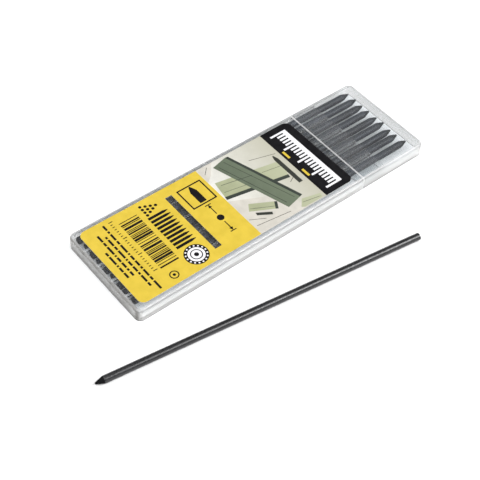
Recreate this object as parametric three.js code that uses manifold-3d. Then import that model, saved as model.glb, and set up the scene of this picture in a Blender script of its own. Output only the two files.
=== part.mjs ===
// Flat clear case of graphite marking leads: body, pull-off cap, label, nine leads inside, one beside it.
// Millimetres, +Z up. The origin is the centre of the case's underside and +X runs towards the cap.
import * as THREE from 'three';
import { mergeVertices } from 'three/addons/utils/BufferGeometryUtils.js';
import Module from 'manifold-3d';

const wasm = await Module();
wasm.setup();

// Leads
const leadDiameter = 2.8;
const leadLength = 130;
const leadPointLength = 3.2;
const leadPointRadius = 0.45;
const leadEndChamfer = 0.15;
const leadSides = 24;
const pointArcSteps = 3;

// Channels that the leads lie in, two leads to a channel
const channelCount = 5;
const leadsPerChannel = 2;
const channelSpareWidth = 1.76;
const channelSpareLength = 2.9;
const channelCornerRadius = 0.4;
const leadClearance = 0.2;
const ribThickness = 0.8;

// Walls of the body, its neck and the cap
const neckWall = 0.5;
const neckClearance = 0.1;
const neckCornerRadius = 0.7;
const neckLeadIn = 0.3;
const neckLength = 11.8;
const capWall = 0.8;
const capLength = 32.2;
const capEndWall = 1.4;
const backWall = 1.4;
const seamGap = 0.15;

// Outside of the case
const caseCornerRadius = 2.5;
const caseEdgeRadius = 1;
const cornerSteps = 6;
const edgeSteps = 3;

// Adhesive label on top of the body, with a window cut through it
const labelThickness = 0.12;
const labelBackMargin = 3;
const labelSeamMargin = 3.4;
const labelSideMargin = 2.2;
const labelCornerRadius = 2.5;
const windowFromLabelBack = 34.8;
const windowWidth = 2.9;
const windowEndMargin = 4.4;
const windowCornerRadius = 0.3;

// The lead that lies in front of the case: its point, measured from the case's back near corner
const looseLeadBehindBack = 25.4;
const looseLeadInFront = 11.4;
const looseLeadTurnDegrees = -8.25;

// Where each lead lies. Channel 0 is nearest the loose lead. The shares run from 0 to 1:
// across is the lead's share of its side play, along its share of the play between the two ends.
const leadPlaces = [
  { channel: 4, across: 0.95, along: 0.38 },
  { channel: 4, across: 0.15, along: 0.55 },
  { channel: 3, across: 0.83, along: 0.41 },
  { channel: 3, across: 0.20, along: 0.42 },
  { channel: 2, across: 0.69, along: 0.38 },
  { channel: 2, across: 0.15, along: 0.48 },
  { channel: 1, across: 0.58, along: 0.22 },
  { channel: 1, across: 0.18, along: 0.24 },
  { channel: 0, across: 0.70, along: 0.42 },
];

// Sizes that follow
const leadRadius = leadDiameter / 2;
const channelWidth = leadsPerChannel * leadDiameter + channelSpareWidth;
const channelHeight = leadDiameter + 2 * leadClearance;
const channelPitch = channelWidth + ribThickness;
const channelsWidth = channelCount * channelPitch - ribThickness;
const neckWidth = channelsWidth + 2 * neckWall;
const neckHeight = channelHeight + 2 * neckWall;
const bodyWall = neckWall + neckClearance + capWall;
const caseWidth = channelsWidth + 2 * bodyWall;
const caseThickness = channelHeight + 2 * bodyWall;
const caseLength = backWall + leadLength + channelSpareLength + capEndWall;
const caseMiddle = caseThickness / 2;
const backX = -caseLength / 2;
const capEndX = caseLength / 2;
const seamX = capEndX - capLength;
const neckEndX = seamX + neckLength;
const channelStartX = backX + backWall;
const cutMargin = 5;

// Plan outline of a plate with round corners, centred on the origin
function roundedRectangle(length, width, radius) {
  const halfLength = length / 2;
  const halfWidth = width / 2;
  const outline = new THREE.Shape();
  outline.moveTo(-halfLength + radius, -halfWidth);
  outline.lineTo(halfLength - radius, -halfWidth);
  outline.absarc(halfLength - radius, -halfWidth + radius, radius, -Math.PI / 2, 0);
  outline.lineTo(halfLength, halfWidth - radius);
  outline.absarc(halfLength - radius, halfWidth - radius, radius, 0, Math.PI / 2);
  outline.lineTo(-halfLength + radius, halfWidth);
  outline.absarc(-halfLength + radius, halfWidth - radius, radius, Math.PI / 2, Math.PI);
  outline.lineTo(-halfLength, -halfWidth + radius);
  outline.absarc(-halfLength + radius, -halfWidth + radius, radius, Math.PI, Math.PI * 1.5);
  return outline;
}

// Flat block with round corners in plan and rounded edges above and below, its underside at z = 0
function roundedSlab(length, width, thickness, cornerRadius, edgeRadius) {
  const face = roundedRectangle(length - 2 * edgeRadius, width - 2 * edgeRadius, cornerRadius - edgeRadius);
  const slab = new THREE.ExtrudeGeometry(face, {
    depth: thickness - 2 * edgeRadius,
    bevelThickness: edgeRadius,
    bevelSize: edgeRadius,
    bevelSegments: edgeSteps,
    curveSegments: cornerSteps,
  });
  return slab.translate(0, 0, edgeRadius);
}

// Bar of rounded rectangular section from startX to endX, with its ends chamfered by endChamfer
function roundedBar(width, height, radius, startX, endX, centreY, endChamfer = 0) {
  const section = roundedRectangle(width - 2 * endChamfer, height - 2 * endChamfer, radius - endChamfer);
  const bar = new THREE.ExtrudeGeometry(section, {
    depth: endX - startX - 2 * endChamfer,
    bevelEnabled: endChamfer > 0,
    bevelThickness: endChamfer,
    bevelSize: endChamfer,
    bevelSegments: 1,
    curveSegments: cornerSteps,
  });
  const alongX = new THREE.Matrix4().makeBasis(
    new THREE.Vector3(0, 1, 0),
    new THREE.Vector3(0, 0, 1),
    new THREE.Vector3(1, 0, 0),
  );
  return bar.applyMatrix4(alongX).translate(startX + endChamfer, centreY, caseMiddle);
}

// Block from startX to endX that takes in the whole width and thickness of the case
function slice(startX, endX) {
  const block = new THREE.BoxGeometry(endX - startX, caseWidth + 2 * cutMargin, caseThickness + 2 * cutMargin);
  return block.translate((startX + endX) / 2, 0, caseMiddle);
}

// Solid for joins and cuts, from a closed geometry
function solid(geometry) {
  const bare = geometry.clone();
  bare.deleteAttribute('normal');
  bare.deleteAttribute('uv');
  const merged = mergeVertices(bare);
  return new wasm.Manifold(new wasm.Mesh({
    numProp: 3,
    vertProperties: new Float32Array(merged.attributes.position.array),
    triVerts: new Uint32Array(merged.index.array),
  }));
}

// Geometry of a finished solid
function geometryOf(body) {
  const mesh = body.getMesh();
  const geometry = new THREE.BufferGeometry();
  geometry.setAttribute('position', new THREE.BufferAttribute(new Float32Array(mesh.vertProperties), 3));
  geometry.setIndex(new THREE.BufferAttribute(new Uint32Array(mesh.triVerts), 1));
  geometry.computeVertexNormals();
  return geometry;
}

function material(color, roughness, metalness, opacity = 1) {
  return new THREE.MeshStandardMaterial({ color, roughness, metalness, opacity, transparent: opacity < 1 });
}

function clearPlastic() {
  return material(0xe9ecef, 0.12, 0, 0.35);
}

function namedMesh(name, geometry, finish) {
  const mesh = new THREE.Mesh(geometry, finish);
  mesh.name = name;
  return mesh;
}

function channelCentreY(channel) {
  return -channelsWidth / 2 + channelWidth / 2 + channel * channelPitch;
}

// Outside of the whole case, of which the body and the cap are cut
function caseOutside() {
  return solid(roundedSlab(caseLength, caseWidth, caseThickness, caseCornerRadius, caseEdgeRadius));
}

// Body: closed at the back, a shoulder at the seam, and a thin neck that carries the cap
function makeBody() {
  const shell = caseOutside().intersect(solid(slice(backX - cutMargin, seamX)));
  const neck = solid(roundedBar(
    neckWidth, neckHeight, neckCornerRadius, seamX - neckLength, neckEndX, 0, neckLeadIn));
  let body = shell.add(neck);
  for (let channel = 0; channel < channelCount; channel += 1) {
    const hollow = roundedBar(
      channelWidth, channelHeight, channelCornerRadius,
      channelStartX, neckEndX + cutMargin, channelCentreY(channel));
    body = body.subtract(solid(hollow));
  }
  return namedMesh('case_body', geometryOf(body), clearPlastic());
}

// Cap: a sleeve over the neck, closed at its end and flush with the body's outside
function makeCap() {
  const sleeve = caseOutside().intersect(solid(slice(seamX + seamGap, capEndX + cutMargin)));
  const hollow = roundedBar(
    neckWidth + 2 * neckClearance, neckHeight + 2 * neckClearance, neckCornerRadius + neckClearance,
    seamX - cutMargin, capEndX - capEndWall, 0);
  return namedMesh('case_cap', geometryOf(sleeve.subtract(solid(hollow))), clearPlastic());
}

// Label: one thin sheet on the body's top face, with the window through which the leads show
function makeLabel() {
  const startX = backX + labelBackMargin;
  const length = seamX - labelSeamMargin - startX;
  const width = caseWidth - 2 * labelSideMargin;
  const sheet = roundedRectangle(length, width, labelCornerRadius);
  const window = roundedRectangle(windowWidth, width - 2 * windowEndMargin, windowCornerRadius);
  const windowX = windowFromLabelBack + windowWidth / 2 - length / 2;
  const windowPoints = window.getPoints(cornerSteps).map((point) => point.add(new THREE.Vector2(windowX, 0)));
  sheet.holes.push(new THREE.Path(windowPoints));
  const geometry = new THREE.ExtrudeGeometry(sheet, {
    depth: labelThickness,
    bevelEnabled: false,
    curveSegments: cornerSteps,
  });
  geometry.translate(startX + length / 2, 0, caseThickness);
  return namedMesh('label', geometry, material(0xefd24f, 0.45, 0));
}

// Lead: a round rod along +X from its flat end at the origin to a short blunt point
function leadGeometry() {
  const pointRoundStart = leadLength - leadPointRadius;
  const profile = [
    new THREE.Vector2(0, 0),
    new THREE.Vector2(leadRadius - leadEndChamfer, 0),
    new THREE.Vector2(leadRadius, leadEndChamfer),
    new THREE.Vector2(leadRadius, leadLength - leadPointLength),
  ];
  for (let step = 0; step < pointArcSteps; step += 1) {
    const angle = (step / pointArcSteps) * (Math.PI / 2);
    profile.push(new THREE.Vector2(
      leadPointRadius * Math.cos(angle), pointRoundStart + leadPointRadius * Math.sin(angle)));
  }
  profile.push(new THREE.Vector2(0, leadLength));
  return new THREE.LatheGeometry(profile, leadSides).rotateZ(-Math.PI / 2);
}

function makeLead(name) {
  return namedMesh(name, leadGeometry(), material(0x3a3d42, 0.4, 0.25));
}

// Across, a lead keeps room for its neighbour: each of the two has the channel's spare width to play in
function leadCentreY(place, fromFarWall) {
  const wallY = channelCentreY(place.channel) - channelWidth / 2;
  const neighbourRoom = fromFarWall ? leadDiameter : 0;
  return wallY + leadRadius + neighbourRoom + place.across * channelSpareWidth;
}

function placeLeadInCase(place, index) {
  const lead = makeLead(`lead_${index + 1}`);
  const isFarOne = index % leadsPerChannel === 0;
  lead.position.set(
    channelStartX + place.along * channelSpareLength,
    leadCentreY(place, isFarOne),
    caseMiddle,
  );
  return lead;
}

function placeLooseLead() {
  const lead = makeLead('loose_lead');
  lead.position.set(-leadLength, 0, 0);
  const turned = new THREE.Group();
  turned.add(lead);
  turned.rotation.z = Math.PI + THREE.MathUtils.degToRad(looseLeadTurnDegrees);
  turned.position.set(backX - looseLeadBehindBack, -caseWidth / 2 - looseLeadInFront, leadRadius);
  return turned;
}

const caseOfLeads = new THREE.Group();
caseOfLeads.add(makeBody(), makeCap(), makeLabel());
leadPlaces.forEach((place, index) => caseOfLeads.add(placeLeadInCase(place, index)));
caseOfLeads.add(placeLooseLead());

export default caseOfLeads;
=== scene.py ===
"""A flat clear case of graphite marking leads, with its pull-off cap, its label and one loose lead.

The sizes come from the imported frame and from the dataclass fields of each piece, in metres. The frame's
origin is the centre of the case's underside, +X runs towards the cap and +Z is up.
"""

import logging
import math
from collections.abc import Sequence
from dataclasses import dataclass, field, replace
from enum import Enum

import bmesh
import bpy
from mathutils import Matrix, Vector
from mathutils.geometry import delaunay_2d_cdt


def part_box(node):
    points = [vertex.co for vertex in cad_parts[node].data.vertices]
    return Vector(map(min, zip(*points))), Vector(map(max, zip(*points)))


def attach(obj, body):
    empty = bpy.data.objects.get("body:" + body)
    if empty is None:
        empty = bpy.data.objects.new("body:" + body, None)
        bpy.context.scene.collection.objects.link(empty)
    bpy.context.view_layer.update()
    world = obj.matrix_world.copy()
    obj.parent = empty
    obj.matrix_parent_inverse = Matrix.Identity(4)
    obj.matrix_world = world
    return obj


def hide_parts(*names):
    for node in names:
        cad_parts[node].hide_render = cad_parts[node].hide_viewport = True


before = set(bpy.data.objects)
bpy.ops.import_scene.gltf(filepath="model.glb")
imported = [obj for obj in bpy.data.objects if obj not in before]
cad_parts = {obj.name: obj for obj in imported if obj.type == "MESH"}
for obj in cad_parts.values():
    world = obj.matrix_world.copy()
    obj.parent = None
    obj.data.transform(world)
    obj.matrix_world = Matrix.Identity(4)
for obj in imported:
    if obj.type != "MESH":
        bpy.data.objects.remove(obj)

log = logging.getLogger("lead_case")

MM = 0.001

# Where the label's picture part starts and ends along it, in millimetres
PICTURE_START = 52.15
PICTURE_END = 83.4

Point = tuple[float, float]
Triple = tuple[float, float, float]
Colour = Triple
Stop = tuple[float, Colour]
Socket = bpy.types.NodeSocket
Value = Socket | float | tuple[float, ...]
Material = bpy.types.Material
Mesh = bpy.types.Mesh
Piece = bpy.types.Object


class Ink(Enum):
    """What a spot on the label's face is printed with. WINDOW is cut right through."""

    YELLOW = "yellow"
    BLACK = "black"
    WHITE = "white"
    HAZE = "haze"
    PALE = "pale"
    SAGE = "sage"
    MOSS = "moss"
    SHADE = "shade"
    STROKE = "stroke"
    WINDOW = "window"


class Blend(Enum):
    """How two colours are put together."""

    MIX = "MIX"
    MULTIPLY = "MULTIPLY"


class Shaping(Enum):
    """What a second solid does to a piece."""

    JOIN = "UNION"
    CUT = "DIFFERENCE"
    KEEP_SHARED = "INTERSECT"


def linear(red: int, green: int, blue: int) -> Colour:
    """Turns a colour of 0 to 255 as a screen shows it into the linear one that a shader takes."""
    shares = (red / 255, green / 255, blue / 255)
    return tuple(s / 12.92 if s <= 0.04045 else ((s + 0.055) / 1.055) ** 2.4 for s in shares)


class Nodes:
    """Adds and links the nodes of one material or world."""

    def __init__(self, owner: Material | bpy.types.World) -> None:
        """Starts an empty tree on the owner.

        Args:
            owner: The material or world that gets the nodes.
        """
        self.owner = owner
        owner.use_nodes = True
        self.tree = owner.node_tree
        self.tree.nodes.clear()

    def add(self, kind: str, inputs: dict | None = None, **settings: object) -> bpy.types.Node:
        """Adds a node.

        Args:
            kind: The node's type name.
            inputs: For each input's name, a value, or an output socket to link from.
            **settings: The node's own properties.

        Returns:
            The new node.
        """
        node = self.tree.nodes.new(kind)
        for key, value in settings.items():
            setattr(node, key, value)
        for key, value in (inputs or {}).items():
            if isinstance(value, Socket):
                self.tree.links.new(value, node.inputs[key])
            else:
                node.inputs[key].default_value = value
        return node

    def noise(self, scale: float, detail: float, stretch: Triple = (1.0, 1.0, 1.0), shift: float = 0.0,
              rough: float = 0.5) -> Socket:
        """Adds a noise texture over the piece's own coordinates.

        Args:
            scale: How fine it is.
            detail: How many finer layers it has.
            stretch: The scale along each axis.
            shift: A shift that makes each copy's pattern its own.
            rough: How much the finer layers count.

        Returns:
            The noise, from 0 to 1.
        """
        own = self.add("ShaderNodeTexCoord").outputs["Object"]
        place = self.add("ShaderNodeMapping", {
            "Vector": own, "Location": (shift, shift * 0.7, shift * 1.3), "Scale": stretch}).outputs["Vector"]
        node = self.add("ShaderNodeTexNoise", {
            "Vector": place, "Scale": scale, "Detail": detail, "Roughness": rough})
        return node.outputs["Fac"]

    def own_share(self, axis: str, start: float, end: float) -> Socket:
        """Gives how far a spot lies from one place to another along one of the piece's own axes.

        Args:
            axis: The axis: X, Y or Z.
            start: The place where the share is 0.
            end: The place where it is 1.

        Returns:
            The share.
        """
        own = self.add("ShaderNodeTexCoord").outputs["Object"]
        spot = self.add("ShaderNodeSeparateXYZ", {"Vector": own}).outputs[axis]
        node = self.add("ShaderNodeMapRange", {"Value": spot, "From Min": start, "From Max": end})
        return node.outputs["Result"]

    def scaled(self, value: Socket, low: float, high: float) -> Socket:
        """Maps a value of 0 to 1 to the range from low to high."""
        node = self.add("ShaderNodeMapRange", {"Value": value, "To Min": low, "To Max": high})
        return node.outputs["Result"]

    def ramp(self, factor: Socket, stops: Sequence[Stop]) -> Socket:
        """Adds a colour ramp.

        Args:
            factor: The socket that drives it.
            stops: The places and colours of its stops.

        Returns:
            The ramp's colour.
        """
        node = self.add("ShaderNodeValToRGB", {"Fac": factor})
        elements = node.color_ramp.elements
        while len(elements) < len(stops):
            elements.new(0.5)
        for element, (place, colour) in zip(elements, stops):
            element.position = place
            element.color = (*colour, 1.0)
        return node.outputs["Color"]

    def blend(self, share: Value, first: Value, second: Value, kind: Blend = Blend.MIX) -> Socket:
        """Blends two colours.

        Args:
            share: How much the second one counts.
            first: The first colour.
            second: The second colour.
            kind: The way of blending.

        Returns:
            The blended colour.
        """
        node = self.add("ShaderNodeMix", {"Factor": share, "A": first, "B": second},
                        data_type="RGBA", blend_type=kind.value)
        return node.outputs["Result"]

    def bump(self, height: Socket, distance: float, strength: float) -> Socket:
        """Turns a pattern of heights into a normal for the shader."""
        node = self.add("ShaderNodeBump", {"Height": height, "Distance": distance, "Strength": strength})
        return node.outputs["Normal"]

    def surface(self, inputs: dict) -> Material:
        """Ends the material with one principled shader.

        Args:
            inputs: The shader's inputs, as in add.

        Returns:
            The material.
        """
        shader = self.add("ShaderNodeBsdfPrincipled", inputs)
        self.add("ShaderNodeOutputMaterial", {"Surface": shader.outputs["BSDF"]})
        return self.owner


@dataclass(frozen=True)
class ClearPlastic:
    """Clear moulded plastic, a little milky: glossy, with a faint flow waviness and fine handling marks.

    Light from lamps passes straight through it, so that it reaches what is shut inside. A rim's tint is
    painted shade that goes by the height on it, and the closed end's own painted shade fades in along X.
    """

    name: str = "clear_plastic"
    tint: Colour = (0.915, 0.921, 0.927)
    painted_shade_by_height: tuple[Stop, ...] = ()
    end_painted_shade_by_height: tuple[Stop, ...] = ()
    end_from: float = -67.0 * MM
    end_to: float = -67.55 * MM
    height: float = 6.0 * MM
    through: Colour = (0.93, 0.94, 0.945)
    refraction: float = 1.45
    clearness: float = 0.99
    gloss: float = 0.5
    haze: float = 0.05
    haze_spread: float = 0.5
    smooth: float = 0.05
    marked: float = 0.1
    wave_height: float = 0.0015 * MM
    wave_strength: float = 0.35
    wave_scale: float = 60.0
    mark_scale: float = 900.0

    def build(self) -> Material:
        """Makes the material.

        Returns:
            The material.
        """
        nodes = Nodes(bpy.data.materials.new(self.name))
        flow = nodes.noise(self.wave_scale, 1.0, (0.25, 1.0, 1.0))
        marks = nodes.noise(self.mark_scale, 3.0, (0.15, 1.0, 1.0))
        worn = nodes.ramp(marks, [(0.58, (0.0,) * 3), (0.75, (1.0,) * 3)])
        shader = nodes.add("ShaderNodeBsdfPrincipled", {
            "Base Color": self._rim_painted_shade(nodes) if self.painted_shade_by_height else (*self.tint, 1.0),
            "Roughness": nodes.scaled(worn, self.smooth, self.marked),
            "IOR": self.refraction,
            "Specular IOR Level": self.gloss,
            "Transmission Weight": self.clearness,
            "Sheen Weight": self.haze,
            "Sheen Roughness": self.haze_spread,
            "Normal": nodes.bump(flow, self.wave_height, self.wave_strength),
        })
        rays = nodes.add("ShaderNodeLightPath")
        lamp = nodes.add("ShaderNodeMath", {
            0: rays.outputs["Is Shadow Ray"], 1: rays.outputs["Is Diffuse Ray"]}, operation="MAXIMUM")
        passing = nodes.add("ShaderNodeBsdfTransparent", {"Color": (*self.through, 1.0)})
        mix = nodes.add("ShaderNodeMixShader", {
            "Fac": lamp.outputs["Value"], 1: shader.outputs["BSDF"], 2: passing.outputs["BSDF"]})
        nodes.add("ShaderNodeOutputMaterial", {"Surface": mix.outputs["Shader"]})
        return nodes.owner

    def _rim_painted_shade(self, nodes: Nodes) -> Socket:
        """Gives the rim's tint with shade painted in by height, and the end's own painted shade faded in
        along X.

        Args:
            nodes: The material's nodes.

        Returns:
            The tint, with its painted shade.
        """
        # The tint is painted shade: bands picked by the height stand in for the dark lines that refraction
        # and shade give the foot, the brow and the thick closed end.
        height = nodes.own_share("Z", 0.0, self.height)
        side = nodes.ramp(height, self.painted_shade_by_height)
        if not self.end_painted_shade_by_height:
            return side
        end = nodes.ramp(height, self.end_painted_shade_by_height)
        return nodes.blend(nodes.own_share("X", self.end_from, self.end_to), side, end)


@dataclass(frozen=True)
class Graphite:
    """Drawn graphite: dark grey with a soft sheen, fine streaks along the lead and small pits."""

    name: str = "graphite"
    seed: int = 0
    dark: Colour = linear(8, 8, 10)
    light: Colour = linear(32, 33, 37)
    shine: float = 0.65
    smooth: float = 0.25
    rough: float = 0.38
    streaks: Triple = (90.0, 2600.0, 2600.0)
    clouds: Triple = (70.0, 300.0, 300.0)
    pit_scale: float = 1100.0
    seed_shift: float = 3.7
    relief: float = 0.01 * MM
    relief_strength: float = 0.4

    def build(self) -> Material:
        """Makes the material.

        Returns:
            The material.
        """
        nodes = Nodes(bpy.data.materials.new(f"{self.name}_{self.seed}"))
        shift = self.seed * self.seed_shift
        streaks = nodes.noise(1.0, 4.0, self.streaks, shift, 0.6)
        clouds = nodes.noise(1.0, 2.0, self.clouds, shift)
        pits = nodes.noise(self.pit_scale, 2.0, shift=shift)
        fine = nodes.ramp(streaks, [(0.32, self.dark), (0.7, self.light)])
        broad = nodes.ramp(clouds, [(0.35, (0.45,) * 3), (0.65, (1.0,) * 3)])
        patches = nodes.ramp(pits, [(0.36, (0.0,) * 3), (0.64, (1.0,) * 3)])
        height = nodes.add("ShaderNodeMath", {0: streaks, 1: pits}, operation="ADD")
        return nodes.surface({
            "Base Color": nodes.blend(1.0, fine, broad, Blend.MULTIPLY),
            "Specular IOR Level": self.shine,
            "Roughness": nodes.scaled(patches, self.smooth, self.rough),
            "Normal": nodes.bump(height.outputs["Value"], self.relief, self.relief_strength),
        })


@dataclass(frozen=True)
class PrintedInk:
    """One ink on coated label stock: even, with a faint mottle and a light gloss.

    An ink with a far colour fades into it along the picture part.
    """

    name: str
    colour: Colour
    far_colour: Colour | None = None
    mottle: float = 0.06
    roughness: float = 0.36
    shine: float = 0.3
    mottle_scale: float = 260.0
    grain_scale: float = 3120.0
    relief: float = 0.004 * MM
    relief_strength: float = 0.3

    def build(self) -> Material:
        """Makes the material.

        Returns:
            The material.
        """
        nodes = Nodes(bpy.data.materials.new(f"ink_{self.name}"))
        noise = nodes.noise(self.mottle_scale, 4.0)
        grain = nodes.noise(self.grain_scale, 2.0)
        deep = tuple(c * (1 - self.mottle) for c in self.colour)
        bright = tuple(min(1.0, c * (1 + self.mottle) + 0.004) for c in self.colour)
        colour = nodes.ramp(noise, [(0.35, deep), (0.65, bright)])
        if self.far_colour is not None:
            share = nodes.own_share("X", PICTURE_START * MM, PICTURE_END * MM)
            colour = nodes.blend(share, colour, (*self.far_colour, 1.0))
        return nodes.surface({
            "Base Color": colour,
            "Roughness": nodes.scaled(noise, self.roughness - 0.05, self.roughness + 0.06),
            "Specular IOR Level": self.shine,
            "Normal": nodes.bump(grain, self.relief, self.relief_strength),
        })


@dataclass(frozen=True)
class PaleFloor:
    """A plain matt white studio surface."""

    colour: Colour = (0.9, 0.9, 0.9)
    lowest: Colour = (0.8955, 0.8955, 0.8955)
    scale: float = 40.0
    roughness: float = 0.85
    shine: float = 0.1

    def build(self) -> Material:
        """Makes the material.

        Returns:
            The material.
        """
        nodes = Nodes(bpy.data.materials.new("pale_floor"))
        return nodes.surface({
            "Base Color": nodes.ramp(nodes.noise(self.scale, 2.0), [(0.3, self.lowest), (0.7, self.colour)]),
            "Roughness": self.roughness,
            "Specular IOR Level": self.shine,
        })


Finish = ClearPlastic | Graphite | PrintedInk | PaleFloor
Plastics = tuple[ClearPlastic, ClearPlastic, ClearPlastic]


def circle(radius: float, sides: int) -> list[Point]:
    """Gives the corners of a circle round the origin, anticlockwise."""
    turns = [2 * math.pi * side / sides for side in range(sides)]
    return [(radius * math.cos(turn), radius * math.sin(turn)) for turn in turns]


def rounded_rectangle(length: float, width: float, radius: float, steps: int) -> list[Point]:
    """Gives a rectangle with round corners, centred on the origin, anticlockwise.

    Args:
        length: Its size along the first axis.
        width: Its size along the second axis.
        radius: The corners' radius.
        steps: The number of edges in each corner.

    Returns:
        The outline's points.
    """
    points = []
    for corner, (side_x, side_y) in enumerate(((1, 1), (-1, 1), (-1, -1), (1, -1))):
        x, y = side_x * (length / 2 - radius), side_y * (width / 2 - radius)
        for step in range(steps + 1):
            angle = math.radians(90 * corner + 90 * step / steps)
            points.append((x + radius * math.cos(angle), y + radius * math.sin(angle)))
    return points


def finished_mesh(shape: bmesh.types.BMesh, name: str) -> Mesh:
    """Ends the work on a shape.

    Args:
        shape: The shape, which is freed.
        name: The mesh's name.

    Returns:
        The mesh made of it.
    """
    mesh = bpy.data.meshes.new(name)
    shape.to_mesh(mesh)
    shape.free()
    return mesh


def loft(loops: list[list[Vector]]) -> Mesh:
    """Joins loops of equal count into one closed skin, with a flat face over each end.

    Args:
        loops: The loops, in order.

    Returns:
        The mesh, with its faces looking out.
    """
    shape = bmesh.new()
    rows = [[shape.verts.new(point) for point in loop] for loop in loops]
    for low, high in zip(rows, rows[1:]):
        for index, first in enumerate(low):
            after = (index + 1) % len(low)
            shape.faces.new((first, low[after], high[after], high[index]))
    shape.faces.new(reversed(rows[0]))
    shape.faces.new(rows[-1])
    bmesh.ops.recalc_face_normals(shape, faces=shape.faces)
    return finished_mesh(shape, "loft")


def edge_profile(radius: float, steps: int) -> list[Point]:
    """Gives a quarter round as pairs of inset and depth, from the flat face to the straight side.

    Args:
        radius: The round's radius.
        steps: The number of edges in it.

    Returns:
        The pairs, each measured from the sharp corner.
    """
    angles = [math.radians(90 * step / steps) for step in range(steps + 1)]
    return [(radius * (1 - math.sin(angle)), radius * (1 - math.cos(angle))) for angle in angles]


def new_object(name: str, mesh: Mesh) -> Piece:
    """Links a new object that shows a mesh.

    Args:
        name: The name of both.
        mesh: The mesh.

    Returns:
        The object.
    """
    piece = bpy.data.objects.new(name, mesh)
    mesh.name = name
    bpy.context.scene.collection.objects.link(piece)
    return piece


def settle_modifiers(piece: Piece) -> None:
    """Bakes a piece's modifiers into its mesh.

    Args:
        piece: The piece.
    """
    bpy.context.view_layer.update()
    graph = bpy.context.evaluated_depsgraph_get()
    baked = bpy.data.meshes.new_from_object(piece.evaluated_get(graph), depsgraph=graph)
    piece.modifiers.clear()
    piece.data = baked
    baked.name = piece.name


def reshape(piece: Piece, tool: Mesh, how: Shaping) -> None:
    """Joins a solid to a piece, cuts it out of it, or keeps what they share.

    Args:
        piece: The piece that changes.
        tool: The other solid.
        how: What the other solid does to it.
    """
    helper = new_object("shaping_tool", tool)
    modifier = piece.modifiers.new("shape", "BOOLEAN")
    modifier.operation = how.value
    modifier.solver = "EXACT"
    modifier.object = helper
    settle_modifiers(piece)
    bpy.data.objects.remove(helper)


def soft_shade(piece: Piece, sharp_degrees: float) -> None:
    """Shades the rounds smoothly and keeps the flats flat.

    Args:
        piece: The piece.
        sharp_degrees: Edges that turn by more than this stay sharp.
    """
    mesh = piece.data
    mesh.polygons.foreach_set("use_smooth", [True] * len(mesh.polygons))
    mesh.set_sharp_from_angle(angle=math.radians(sharp_degrees))
    weighted = piece.modifiers.new("flat_faces", "WEIGHTED_NORMAL")
    weighted.keep_sharp = True
    weighted.weight = 100
    settle_modifiers(piece)


def dress(piece: Piece, finishes: Sequence[Finish]) -> None:
    """Gives a piece one material slot for each finish, in place of any that it has.

    Args:
        piece: The piece. If it has slots, its faces go back to the first.
        finishes: The finishes, in the order of the slots.
    """
    if piece.data.materials:
        piece.data.materials.clear()
    for finish in finishes:
        piece.data.materials.append(finish.build())


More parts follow.
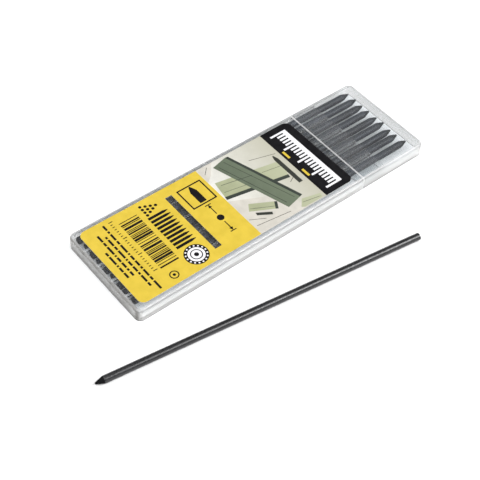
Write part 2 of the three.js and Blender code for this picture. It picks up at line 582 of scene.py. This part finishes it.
@dataclass
class CaseShape:
    """The sizes that the body and the cap share.

    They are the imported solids' own, but for the foot's crisper edge round and the cap's thinner end wall.
    """

    corner_radius: float = 2.5 * MM
    edge_radius: float = 1.0 * MM
    foot_radius: float = 0.5 * MM
    rim_radius: float = 0.18 * MM
    seam_reach: float = 1.2 * rim_radius
    neck_length: float = 11.8 * MM
    neck_wall: float = 0.5 * MM
    neck_corner: float = 0.7 * MM
    neck_clearance: float = 0.1 * MM
    channel_count: int = 5
    channel_width: float = 7.36 * MM
    channel_height: float = 3.2 * MM
    channel_corner: float = 0.4 * MM
    rib: float = 0.8 * MM
    back_wall: float = 1.4 * MM
    cap_end_wall: float = 0.95 * MM
    corner_steps: int = 12
    edge_steps: int = 6
    round_end_steps: int = 3
    sharp_degrees: float = 32.0

    def __post_init__(self) -> None:
        """Reads the outer boxes of the body and the cap from the frame."""
        self.body_low, self.body_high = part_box("case_body")
        self.cap_low, self.cap_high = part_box("case_cap")
        self.seam = self.body_high.x - self.neck_length
        self.middle = (self.body_low.z + self.body_high.z) / 2

    @property
    def channels_width(self) -> float:
        """The width over all channels and the ribs between them."""
        return self.channel_count * (self.channel_width + self.rib) - self.rib

    def slab(self) -> Mesh:
        """Makes the flat block with round corners and rounded edges that the body and the cap are cut from.

        Returns:
            The block's mesh.
        """
        low, high = self.body_low, self.cap_high
        size, centre = high - low, (low + high) / 2
        foot = edge_profile(self.foot_radius, self.edge_steps)
        top = edge_profile(self.edge_radius, self.edge_steps)
        levels = [(inset, low.z + depth) for inset, depth in foot]
        levels += [(inset, high.z - depth) for inset, depth in reversed(top)]
        loops = []
        for inset, level in levels:
            outline = rounded_rectangle(
                size.x - 2 * inset, size.y - 2 * inset, self.corner_radius - inset, self.corner_steps)
            loops.append([Vector((centre.x + x, centre.y + y, level)) for x, y in outline])
        return loft(loops)

    def bar(self, size: Point, radius: float, start: float, end: float, round_end: float = 0.0,
            centre_y: float = 0.0) -> Mesh:
        """Makes a bar along X of rounded rectangular section.

        Args:
            size: The section's width and height.
            radius: The section's corner radius.
            start: Where the bar starts in X.
            end: Where it ends in X.
            round_end: The radius of the round where it ends.
            centre_y: Its middle in Y.

        Returns:
            The bar's mesh.
        """
        stations = [(0.0, start)]
        if round_end > 0:
            rounding = edge_profile(round_end, self.round_end_steps)
            stations += [(inset, end - depth) for inset, depth in reversed(rounding)]
        else:
            stations.append((0.0, end))
        loops = []
        for inset, place in stations:
            section = rounded_rectangle(
                size[0] - 2 * inset, size[1] - 2 * inset, radius - inset, self.edge_steps)
            loops.append([Vector((place, centre_y + y, self.middle + z)) for y, z in section])
        return loft(loops)

    def mark_rim(self, piece: Piece, seam: float, side: int) -> None:
        """Gives the second slot to the outer sides and their rounds, and the third to the faces at the seam.

        Args:
            piece: The body or the cap.
            seam: Where the piece's own cut face lies in X.
            side: -1 if the piece's outside lies behind that face, 1 if it lies in front.
        """
        for face in piece.data.polygons:
            reach_x = abs(face.center.x) - (self.cap_high.x - self.corner_radius)
            reach_y = abs(face.center.y) - (self.cap_high.y - self.corner_radius)
            depth = -min(max(reach_x, reach_y), 0.0) + self.corner_radius
            depth -= math.hypot(max(reach_x, 0.0), max(reach_y, 0.0))
            outward = face.normal.x * face.center.x * (reach_x > 0) + face.normal.y * face.center.y
            beyond = side * (face.center.x - seam)
            if abs(beyond) < self.seam_reach:
                face.material_index = 2
            elif depth < self.edge_radius and outward > 0 and beyond > 0:
                face.material_index = 1

    def half_space(self, start: float, end: float) -> Mesh:
        """Makes a block from start to end in X that takes in the whole section of the case."""
        reach = self.body_high.y * 2
        return self.bar((2 * reach, 2 * reach), 0.1 * reach, start, end)

    def round_rim(self, piece: Piece, place: float) -> None:
        """Rounds the sharp outer rim that a cut left at one X.

        Args:
            piece: The piece.
            place: Where the cut face lies in X.
        """
        shape = bmesh.new()
        shape.from_mesh(piece.data)
        near = 0.01 * MM
        on_cut = {v for v in shape.verts if abs(v.co.x - place) < near}
        rim = [e for e in shape.edges if e.verts[0] in on_cut and e.verts[1] in on_cut]
        bmesh.ops.bevel(shape, geom=rim, offset=self.rim_radius, segments=3, profile=0.5, affect="EDGES")
        shape.to_mesh(piece.data)
        shape.free()


@dataclass
class CaseBody:
    """The clear body: closed at the back, five channels, a shoulder at the seam and a thin neck."""

    shape: CaseShape
    finishes: Plastics
    neck_lead_in: float = 0.3 * MM

    def build(self) -> Piece:
        """Builds the body, dresses it and puts it in the place of its solid.

        Returns:
            The body.
        """
        shape = self.shape
        far = 2 * shape.cap_high.x
        body = new_object("clear_body", shape.slab())
        reshape(body, shape.half_space(-far, shape.seam), Shaping.KEEP_SHARED)
        shape.round_rim(body, shape.seam)
        neck = (shape.channels_width + 2 * shape.neck_wall, shape.channel_height + 2 * shape.neck_wall)
        reshape(body, shape.bar(
            neck, shape.neck_corner, shape.seam - shape.neck_length, shape.body_high.x,
            self.neck_lead_in), Shaping.JOIN)
        pitch = shape.channel_width + shape.rib
        for channel in range(shape.channel_count):
            centre = (channel - (shape.channel_count - 1) / 2) * pitch
            reshape(body, shape.bar(
                (shape.channel_width, shape.channel_height), shape.channel_corner,
                shape.body_low.x + shape.back_wall, far, centre_y=centre), Shaping.CUT)
        soft_shade(body, shape.sharp_degrees)
        dress(body, self.finishes)
        shape.mark_rim(body, shape.seam, -1)
        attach(body, "case")
        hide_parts("case_body")
        return body


@dataclass
class CaseCap:
    """The clear pull-off cap: a sleeve over the neck, closed at its end."""

    shape: CaseShape
    finishes: Plastics
    hollow_round: float = 0.15 * MM

    def build(self) -> Piece:
        """Builds the cap, dresses it and puts it in the place of its solid.

        Returns:
            The cap.
        """
        shape = self.shape
        mouth = shape.cap_low.x
        cap = new_object("clear_cap", shape.slab())
        reshape(cap, shape.half_space(mouth, 2 * shape.cap_high.x), Shaping.KEEP_SHARED)
        shape.round_rim(cap, mouth)
        room = 2 * (shape.neck_wall + shape.neck_clearance)
        reshape(cap, shape.bar(
            (shape.channels_width + room, shape.channel_height + room),
            shape.neck_corner + shape.neck_clearance,
            shape.body_low.x, shape.cap_high.x - shape.cap_end_wall, self.hollow_round), Shaping.CUT)
        soft_shade(cap, shape.sharp_degrees)
        dress(cap, self.finishes)
        shape.mark_rim(cap, mouth, 1)
        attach(cap, "cap")
        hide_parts("case_cap")
        return cap


@dataclass
class Lead:
    """One graphite lead: a round rod with a chamfered flat end and a short blunt point."""

    node: str
    finish: Graphite
    diameter: float = 2.8 * MM
    length: float = 130.0 * MM
    point_length: float = 3.2 * MM
    point_radius: float = 0.45 * MM
    end_chamfer: float = 0.15 * MM
    shoulder_round: float = 0.5 * MM
    cut_tone: float = 0.4
    sides: int = 56
    barrel_steps: int = 12
    tip_steps: int = 7
    sharp_degrees: float = 40.0

    def profile(self) -> list[Point]:
        """Gives the lead's half outline as pairs of place along it and radius, from the flat end.

        Returns:
            The pairs.
        """
        radius, blunt, chamfer = self.diameter / 2, self.point_radius, self.end_chamfer
        cone_start, round_start = self.length - self.point_length, self.length - blunt
        slope = (radius - blunt) / (round_start - cone_start)
        pairs = [(0.0, radius - chamfer), (0.4 * chamfer, radius - 0.3 * chamfer), (chamfer, radius)]
        pairs += [(cone_start * step / self.barrel_steps, radius) for step in range(1, self.barrel_steps)]
        for share in (-1.0, -0.4, 0.2, 0.7, 1.2):
            past = share * self.shoulder_round
            ease = 0.12 * self.shoulder_round * max(0.0, 1 - abs(share))
            pairs.append((cone_start + past, radius - slope * (max(0.0, past) + ease)))
        turns = [math.radians(90 * step / self.tip_steps) for step in range(self.tip_steps)]
        pairs += [(round_start + blunt * math.sin(turn), blunt * math.cos(turn)) for turn in turns]
        return pairs

    def mark_cut_faces(self, lead: Piece) -> None:
        """Gives the second material slot to the ground point and the flat end, which aren't polished.

        Args:
            lead: The lead.
        """
        cone_start = self.length - self.point_length
        for face in lead.data.polygons:
            if face.center.x > cone_start or face.center.x < 0.5 * self.end_chamfer:
                face.material_index = 1

    def build(self, body: str, matrix: Matrix) -> Piece:
        """Builds the lead and puts it in the place of its solid.

        Args:
            body: The CAD body that it rides on.
            matrix: Its place, with the flat end at the origin and the point along +X.

        Returns:
            The lead.
        """
        loops = [[Vector((along, *spot)) for spot in circle(radius, self.sides)]
                 for along, radius in self.profile()]
        lead = new_object(f"graphite_{self.node}", loft(loops))
        lead.matrix_world = matrix
        soft_shade(lead, self.sharp_degrees)
        cut = replace(
            self.finish, name=f"{self.finish.name}_cut", shine=0.1, smooth=0.5, rough=0.7,
            dark=tuple(self.cut_tone * c for c in self.finish.dark),
            light=tuple(self.cut_tone * c for c in self.finish.light))
        dress(lead, (self.finish, cut))
        self.mark_cut_faces(lead)
        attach(lead, body)
        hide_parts(self.node)
        return lead


@dataclass
class LeadRow:
    """The nine leads that lie in the case, each where its solid lies.

    Their graphite is painted lighter and bluer than the loose one's, as painted haze of the light that the
    plastic over them scatters, and has less gloss.
    """

    count: int = 9
    turn_step: float = 47.0
    # The lighter, bluer colours are painted haze: light that the plastic scatters over the leads, painted
    # onto them.
    finish: Graphite = Graphite(
        dark=linear(18, 23, 31), light=linear(42, 50, 61), shine=0.3, smooth=0.35, rough=0.55)

    def build(self) -> list[Piece]:
        """Builds the leads in order, each turned about its own axis.

        Returns:
            The leads.
        """
        leads = []
        for number in range(1, self.count + 1):
            node = f"lead_{number}"
            low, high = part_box(node)
            centre = (low + high) / 2
            place = Matrix.Translation(Vector((low.x, centre.y, centre.z)))
            turn = Matrix.Rotation(math.radians(self.turn_step * number), 4, "X")
            lead = Lead(node, replace(self.finish, seed=number))
            leads.append(lead.build(f"{node}_body", place @ turn))
        return leads


@dataclass
class LooseLead:
    """The lead that lies in front of the case, turned a little from it."""

    node: str = "loose_lead"
    turn_degrees: float = 180.0 - 8.25

    def build(self) -> Piece:
        """Builds the lead where its solid lies, with its point at the solid's far left.

        Returns:
            The lead.
        """
        low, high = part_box(self.node)
        turn = math.radians(self.turn_degrees)
        lead = Lead(self.node, Graphite(seed=10))
        radius = lead.diameter / 2
        flat_end = Vector((
            high.x - abs(math.sin(turn)) * radius, low.y + abs(math.cos(turn)) * radius, low.z + radius))
        place = Matrix.Translation(flat_end) @ Matrix.Rotation(turn, 4, "Z")
        return lead.build("loose_lead_body", place)


@dataclass
class PrintSheet:
    """Collects flat shapes in inks and makes one sheet of them, with every shape inlaid in its face.

    Places and sizes on it are in millimetres.
    """

    shapes: list[tuple[list[Point], Ink]] = field(default_factory=list, init=False)

    def add(self, outline: list[Point], ink: Ink = Ink.BLACK) -> None:
        """Prints a filled outline, taken anticlockwise, over what is there.

        Args:
            outline: Its corners in order.
            ink: The ink.
        """
        sides = zip(outline, outline[1:] + outline[:1])
        area = sum(first[0] * after[1] - after[0] * first[1] for first, after in sides)
        self.shapes.append((outline if area > 0 else outline[::-1], ink))

    def rectangle(self, low: Point, high: Point, ink: Ink = Ink.BLACK) -> None:
        """Prints an upright rectangle between two corners."""
        self.add([low, (high[0], low[1]), high, (low[0], high[1])], ink)

    def disc(self, centre: Point, radius: float, ink: Ink = Ink.BLACK, sides: int = 40) -> None:
        """Prints a filled circle."""
        self.add([(centre[0] + x, centre[1] + y) for x, y in circle(radius, sides)], ink)

    def stroke(self, start: Point, end: Point, width: float, ink: Ink = Ink.BLACK) -> None:
        """Prints a straight line.

        Args:
            start: Where it starts.
            end: Where it ends.
            width: Its width.
            ink: The ink.
        """
        first, last = Vector(start), Vector(end)
        side = (last - first).orthogonal().normalized() * (width / 2)
        self.add([tuple(first - side), tuple(last - side), tuple(last + side), tuple(first + side)], ink)

    def lead(self, ends: Triple, middle: float, widths: Point, ink: Ink = Ink.BLACK,
             across: bool = True) -> None:
        """Prints a pointed lead.

        Args:
            ends: Where its flat end, its shoulder and its tip lie.
            middle: Where its middle line lies.
            widths: Half its width, and half its tip's.
            ink: The ink.
            across: Whether it lies across the sheet, and not along it.
        """
        start, shoulder, tip = ends
        half, blunt = widths
        outline = [(start, middle - half), (shoulder, middle - half), (tip, middle - blunt),
                   (tip, middle + blunt), (shoulder, middle + half), (start, middle + half)]
        self.add([spot[::-1] for spot in outline] if across else outline, ink)

    def mesh(self, inks: list[Ink], thickness: float) -> Mesh:
        """Makes the sheet.

        Args:
            inks: The inks in the order of the material slots. The sheet's edge and underside take the
                slot after them.
            thickness: The sheet's thickness, in metres.

        Returns:
            The mesh, its underside at z = 0.
        """
        points: list[Vector] = []
        faces: list[list[int]] = []
        for outline, _ in self.shapes:
            faces.append(list(range(len(points), len(points) + len(outline))))
            points.extend(Vector(spot) for spot in outline)
        flat = delaunay_2d_cdt(points, [], faces, 1, 1e-4)
        spots, triangles, covers = flat[0], flat[2], flat[5]
        shape = bmesh.new()
        top = [shape.verts.new((p.x * MM, p.y * MM, thickness)) for p in spots]
        under = [shape.verts.new((p.x * MM, p.y * MM, 0.0)) for p in spots]
        bare = len(inks)
        for triangle, cover in zip(triangles, covers):
            ink = self.shapes[max(cover)][1]
            if ink is Ink.WINDOW:
                continue
            shape.faces.new([top[i] for i in triangle]).material_index = inks.index(ink)
            shape.faces.new([under[i] for i in reversed(triangle)]).material_index = bare
        partner = dict(zip(top, under))
        rims = [e for e in shape.edges if e.is_boundary and e.verts[0] in partner and e.verts[1] in partner]
        for edge in rims:
            loop = edge.link_loops[0]
            first, last = loop.vert, loop.link_loop_next.vert
            shape.faces.new((last, first, partner[first], partner[last])).material_index = bare
        bmesh.ops.delete(shape, geom=[v for v in shape.verts if not v.link_faces], context="VERTS")
        return finished_mesh(shape, "sheet")


@dataclass
class CaseLabel(PrintSheet):
    """The adhesive label on the body's top: a yellow part, a picture part and a black band.

    Places on it count from its back near corner: the first number runs towards the cap, the second away
    from the loose lead. What is printed reads with its top towards the cap.
    """

    corner_radius: float = 2.5
    corner_steps: int = 10
    window_low: Point = (34.8, 4.4)
    window_high: Point = (37.7, 34.0)
    lift: float = 0.02 * MM

    def __post_init__(self) -> None:
        """Reads the label's box from the frame."""
        self.low, self.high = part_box("label")
        self.length = (self.high.x - self.low.x) / MM
        self.width = (self.high.y - self.low.y) / MM

    def clipped_outline(self, start: float, end: float) -> list[Point]:
        """Gives the part of the label's round-cornered outline between two places along it.

        Args:
            start: The first place.
            end: The second place.

        Returns:
            The part's corners, anticlockwise.
        """
        middle, half_width, near = (start + end) / 2, self.width / 2, 1e-6
        outline = rounded_rectangle(self.length, self.width, self.corner_radius, self.corner_steps)
        spots = [(x + self.length / 2, y + half_width) for x, y in outline]
        spots = [spot for spot in spots if start - near <= spot[0] <= end + near]
        for cut in (start, end):
            if 0 < cut < self.length:
                spots += [(cut, 0.0), (cut, self.width)]
        return sorted(spots, key=lambda spot: math.atan2(spot[1] - half_width, spot[0] - middle))

    def print_grounds(self) -> None:
        """Prints the three grounds, edge to edge."""
        cuts = (0.0, PICTURE_START, PICTURE_END, self.length)
        for start, end, ink in zip(cuts, cuts[1:], (Ink.YELLOW, Ink.HAZE, Ink.BLACK)):
            self.add(self.clipped_outline(start, end), ink)

    def print_count(self) -> None:
        """Prints ten bold leads side by side, beside ten lead ends stacked in a triangle."""
        for place in range(10):
            self.lead((24.0, 30.7, 32.5), 29.3 - 1.85 * place, (0.6, 0.12), across=False)
        for row in range(4):
            for place in range(4 - row):
                centre = (25.0 + 1.75 * row, 35.9 - 0.8 * row - 1.6 * place)
                self.disc(centre, 0.62, sides=20)

    def print_size_mark(self) -> None:
        """Prints a lead's round section at its real size between two arrows, as on a drawing."""
        middle, centre, radius = 45.4, 14.8, 1.4
        gap, reach, thick = 0.8, 5.2, 0.42
        self.disc((middle, centre), radius)
        for side in (1, -1):
            near = centre + side * (radius + gap)
            tip = near + side * reach
            back = tip - side * 1.6
            self.stroke((middle, near), (middle, tip - side * 1.2), thick)
            self.add([(middle, tip), (middle - 0.75, back), (middle + 0.75, back)])
            self.stroke((middle - 1.3, tip), (middle + 1.3, tip), thick)

    def print_lead_sign(self) -> None:
        """Prints a square frame with a short lead drawn in it."""
        self.rectangle((39.9, 23.3), (50.7, 34.1))
        self.rectangle((40.5, 23.9), (50.1, 33.5), Ink.YELLOW)
        self.lead((24.4, 30.5, 33.3), 45.25, (1.45, 0.3))

    def print_bars(self) -> None:
        """Prints a block of plain bars, their widths from a short repeating rhythm, over a row of ticks."""
        tick_base, tick_width = 11.6, 0.36
        for tick in range(22):
            across = 36.4 - 1.28 * tick
            reach = 1.7 if tick % 7 == 0 else 0.9
            self.rectangle((tick_base, across - tick_width), (tick_base + reach, across))
        low, high, place, end, unit = 14.3, 22.1, 33.8, 7.9, 0.3
        rhythm = (1, 2, 1, 3, 1, 1, 2, 1, 1, 2, 3, 1)
        count = 0
        while place - 3 * unit > end:
            width = 1.15 * rhythm[count % len(rhythm)] * unit
            gap = 0.9 * rhythm[(5 * count + 3) % len(rhythm)] * unit
            self.rectangle((low, place - width), (high, place))
            place -= width + gap
            count += 1

    def print_small_lines(self) -> None:
        """Prints rows of short dashes where small print goes."""
        rows = ((8.9, 36.4, 1.6), (6.8, 31.6, 4.6), (4.7, 33.6, 11.8), (2.7, 25.6, 11.8))
        dashes = (2.6, 1.1, 3.3, 1.7, 4.1, 0.8, 2.2)
        height, space, shortest = 0.85, 0.55, 0.8
        for row, (base, place, end) in enumerate(rows):
            count = row
            while place - shortest > end:
                length = min(dashes[count % len(dashes)], place - end)
                self.rectangle((base, place - length), (base + height, place))
                place -= length + space
                count += 1

    def print_rings(self) -> None:
        """Prints a round sign of rings with dots round it, and a small ring."""
        centre, dots, dots_radius = (28.0, 6.4), 16, 3.9
        self.disc(centre, 4.6)
        for x, y in circle(dots_radius, dots):
            self.disc((centre[0] + x, centre[1] + y), 0.34, Ink.WHITE, 12)
        for radius, ink in ((3.2, Ink.WHITE), (2.3, Ink.BLACK), (1.9, Ink.WHITE), (0.9, Ink.BLACK)):
            self.disc(centre, radius, ink)
        for radius, ink in ((1.8, Ink.BLACK), (1.35, Ink.YELLOW), (0.6, Ink.BLACK)):
            self.disc((16.4, 3.8), radius, ink, 24)

    def print_picture(self) -> None:
        """Prints the picture part: crossed boards in soft greens, with pencil lines and a long dark lead."""
        gap = 0.01
        size = (PICTURE_END - PICTURE_START - 2 * gap, self.width - 2 * gap)

        def at(along: float, across: float) -> Point:
            """Turns shares of the picture part into a place on the sheet."""
            return (PICTURE_START + gap + along * size[0], gap + across * size[1])

        boards = (
            (Ink.PALE, ((0, 0), (0.78, 0), (0.5, 0.3), (0, 0.5))),
            (Ink.PALE, ((0, 0.8), (0, 1), (0.24, 1), (0.1, 0.86))),
            (Ink.SAGE, ((0.02, 0.56), (0.06, 0.76), (0.92, 0.62), (0.86, 0.43))),
            (Ink.SHADE, ((0.02, 0.56), (0.86, 0.43), (0.85, 0.39), (0.01, 0.52))),
            (Ink.MOSS, ((0.2, 0.93), (0.42, 0.97), (0.74, 0.14), (0.52, 0.1))),
            (Ink.SHADE, ((0.42, 0.97), (0.46, 0.965), (0.78, 0.15), (0.74, 0.14))),
            (Ink.SAGE, ((0.1, 0.28), (0.17, 0.36), (0.44, 0.24), (0.38, 0.16))),
            (Ink.SHADE, ((0.38, 0.16), (0.44, 0.24), (0.47, 0.225), (0.41, 0.145))),
            (Ink.SAGE, ((0.64, 0.03), (0.73, 0.11), (0.97, 0.06), (0.95, 0.01), (0.68, 0.01))),
            (Ink.STROKE, ((0.14, 0.2), (0.15, 0.235), (0.32, 0.15), (0.3, 0.12))),
        )
        for ink, corners in boards:
            self.add([at(*corner) for corner in corners], ink)
        lines = (
            (0.26, 0.9, 0.55, 0.16, 0.24), (0.1, 0.7, 0.5, 0.63, 0.2), (0.04, 0.1, 0.5, 0.05, 0.22),
            (0.02, 0.2, 0.2, 0.12, 0.2), (0.8, 0.34, 0.94, 0.4, 0.22), (0.62, 0.8, 0.96, 0.72, 0.2),
            (0.36, 0.93, 0.68, 0.17, 0.2), (0.06, 0.61, 0.34, 0.565, 0.16), (0.62, 0.6, 0.88, 0.56, 0.16),
            (0.14, 0.3, 0.4, 0.19, 0.16), (0.05, 0.9, 0.14, 0.97, 0.2), (0.7, 0.07, 0.94, 0.03, 0.16))
        for along, across, far_along, far_across, width in lines:
            self.stroke(at(along, across), at(far_along, far_across), width, Ink.STROKE)
        self.lead((10.8, 25.0, 27.2), 80.4, (0.9, 0.25), Ink.STROKE)

    def print_rule(self) -> None:
        """Prints a bold rule with white ticks along the black band, and two short yellow bars."""
        base, first, step, tick_width, count = 91.6, 34.6, 1.6, 0.9, 21
        last = first - (count - 1) * step
        self.rectangle((base, last), (base + 1.9, first + tick_width), Ink.WHITE)
        for tick in range(count):
            place = first - tick * step
            reach = 5.6 if tick % 5 == 0 else 3.4
            self.rectangle((base - reach, place), (base, place + tick_width), Ink.WHITE)
        for start in (11.4, 22.6):
            self.rectangle((84.5, start), (85.5, start + 4.0), Ink.YELLOW)

    def build(self) -> Piece:
        """Prints everything, lays the sheet on the body and dresses it.

        Returns:
            The label.
        """
        self.print_grounds()
        self.print_picture()
        self.print_rule()
        self.print_lead_sign()
        self.print_size_mark()
        self.print_count()
        self.print_bars()
        self.print_small_lines()
        self.print_rings()
        self.rectangle(self.window_low, self.window_high, Ink.WINDOW)
        inks = [ink for ink in Ink if ink is not Ink.WINDOW]
        thickness = self.high.z - self.low.z - self.lift
        label = new_object("printed_label", self.mesh(inks, thickness))
        label.matrix_world = Matrix.Translation(Vector((self.low.x, self.low.y, self.low.z + self.lift)))
        dress(label, label_inks())
        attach(label, "case")
        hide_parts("label")
        return label


def label_inks() -> list[PrintedInk]:
    """Gives the finish of each ink, in the order of Ink, and then the bare stock's."""
    return [
        PrintedInk("yellow", linear(197, 171, 56), mottle=0.05),
        PrintedInk("black", linear(15, 14, 17), shine=0.1),
        PrintedInk("white", linear(221, 220, 223)),
        PrintedInk("haze", linear(201, 200, 194), linear(171, 169, 154)),
        PrintedInk("pale", linear(186, 182, 173)),
        PrintedInk("sage", linear(146, 151, 120), linear(165, 168, 142)),
        PrintedInk("moss", linear(78, 88, 73), linear(104, 114, 94)),
        PrintedInk("shade", linear(47, 53, 47)),
        PrintedInk("stroke", linear(44, 46, 41)),
        PrintedInk("stock", linear(216, 214, 207), roughness=0.6),
    ]


@dataclass
class Studio:
    """The pale floor, the soft light and the camera at the photograph's angle."""

    camera_place: Vector = Vector((-189.11, -200.29, 298.83)) * MM
    camera_right: Vector = Vector((0.774118, -0.631055, 0.050117))
    camera_down: Vector = Vector((-0.456677, -0.611522, -0.646132))
    focal_length: float = 81.73
    sensor: float = 36.0
    floor_size: float = 6.0
    floor_gap: float = 0.01 * MM

    def build_camera(self) -> None:
        """Makes the camera and sets it as the scene's."""
        data = bpy.data.cameras.new("photo_camera")
        data.lens = self.focal_length
        data.sensor_width = self.sensor
        data.clip_start = 0.01
        camera = bpy.data.objects.new("photo_camera", data)
        right = self.camera_right.normalized()
        up = (-self.camera_down - right * right.dot(-self.camera_down)).normalized()
        back = right.cross(up)
        turn = Matrix((right, up, back)).transposed().to_4x4()
        camera.matrix_world = Matrix.Translation(self.camera_place) @ turn
        bpy.context.scene.collection.objects.link(camera)
        bpy.context.scene.camera = camera

    def build_floor(self) -> None:
        """Makes the floor under the case."""
        shape = bmesh.new()
        bmesh.ops.create_grid(shape, x_segments=8, y_segments=8, size=self.floor_size / 2)
        floor = new_object("studio_floor", finished_mesh(shape, "floor"))
        floor.location.z = -self.floor_gap
        dress(floor, [PaleFloor()])

    def build_lamp(self, name: str, towards: Triple, spread: float, strength: float) -> None:
        """Makes one far soft lamp, which lights the floor evenly.

        Args:
            name: The lamp's name.
            towards: The direction from the case to the lamp.
            spread: How wide the lamp looks from the case, in degrees.
            strength: What it gives in watts per square metre, facing it.
        """
        data = bpy.data.lights.new(name, "SUN")
        data.angle = math.radians(spread)
        data.energy = strength
        lamp = bpy.data.objects.new(name, data)
        lamp.visible_transmission = False
        spot = Vector(towards)
        lamp.matrix_world = Matrix.Translation(spot) @ spot.to_track_quat("Z", "Y").to_matrix().to_4x4()
        bpy.context.scene.collection.objects.link(lamp)

    def build_world(self) -> None:
        """Makes a sky that is bright near the horizon and dimmer overhead, so that clear edges show."""
        world = bpy.data.worlds.new("studio_sky")
        nodes = Nodes(world)
        direction = nodes.add("ShaderNodeTexCoord").outputs["Generated"]
        height = nodes.add("ShaderNodeSeparateXYZ", {"Vector": direction}).outputs["Z"]
        sky = nodes.ramp(height, [
            (0.0, (1.0,) * 3), (0.12, (0.9,) * 3), (0.35, (0.35,) * 3), (1.0, (0.3,) * 3)])
        light = nodes.add("ShaderNodeBackground", {"Color": sky, "Strength": 1.0})
        nodes.add("ShaderNodeOutputWorld", {"Surface": light.outputs["Background"]})
        bpy.context.scene.world = world

    def build(self) -> None:
        """Sets the whole studio up."""
        self.build_camera()
        self.build_floor()
        self.build_world()
        self.build_lamp("key_lamp", (0.6, -0.65, 0.95), 34.0, 2.7)
        self.build_lamp("fill_lamp", (-0.5, -0.5, 1.3), 50.0, 1.1)
        self.build_lamp("far_lamp", (-0.35, 0.5, 1.2), 50.0, 1.0)
        bpy.context.scene.view_settings.view_transform = "Standard"


def case_plastics() -> tuple[Plastics, Plastics]:
    """Gives the finishes of the walls, the rim and the seam, for the body and for the cap.

    The rims' tints paint shade by height, and the seam's milky white paints a highlight line.

    Returns:
        The body's finishes and the cap's.
    """
    # The rim's tints by height are painted light and shade. The foot and the brow are dark painted shade
    # along the bottom and top rounds. The wall bands between them are painted lighter or darker, and the
    # cap's band is darker.
    milky, duller, cap_painted_wall_shade = (0.9, 0.895, 0.88), (0.84, 0.835, 0.82), (0.72, 0.715, 0.7)
    foot, painted_brow_shade = ((0.0, (0.3,) * 3), (0.09, (0.4,) * 3)), (0.86, (0.6,) * 3)
    walls = ClearPlastic()
    # The seam faces are made milky white as a painted highlight line along the seam.
    seam = ClearPlastic(name="clear_plastic_seam_painted_highlight", tint=(0.9, 0.9, 0.9), clearness=0.35, haze=0.15,
                        smooth=0.1, marked=0.2)
    body_rim = ClearPlastic(
        name="clear_plastic_body_rim_painted_shade", clearness=0.6, gloss=0.2, haze=0.15, smooth=0.14, marked=0.22,
        painted_shade_by_height=(*foot, (0.14, milky), (0.3, milky), (0.45, duller), (0.7, duller), painted_brow_shade),
        # The closed end's painted shade: near black at its foot and dark grey above, standing in for the dark
        # that its thick wall refracts.
        end_painted_shade_by_height=(
            (0.0, (0.0,) * 3), (0.1, (0.01,) * 3), (0.16, (0.27, 0.262, 0.245)),
            (0.6, (0.3, 0.292, 0.275)), (0.8, (0.38, 0.372, 0.355))))
    cap_rim = replace(
        body_rim, name="clear_plastic_cap_rim_painted_shade", end_painted_shade_by_height=(),
        painted_shade_by_height=(*foot, (0.14, cap_painted_wall_shade), (0.7, cap_painted_wall_shade), painted_brow_shade))
    return (walls, body_rim, seam), (walls, cap_rim, seam)


def main() -> None:
    """Builds the studio and every piece in order, and reports each."""
    logging.basicConfig(level=logging.INFO, format="%(name)s: %(message)s")
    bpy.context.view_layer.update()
    Studio().build()
    shape = CaseShape()
    body_plastics, cap_plastics = case_plastics()
    pieces = [CaseBody(shape, body_plastics).build(), CaseCap(shape, cap_plastics).build()]
    pieces += [*LeadRow().build(), LooseLead().build(), CaseLabel().build()]
    for piece in pieces:
        log.info("%s: %d faces", piece.name, len(piece.data.polygons))


if __name__ == "__main__":
    main()
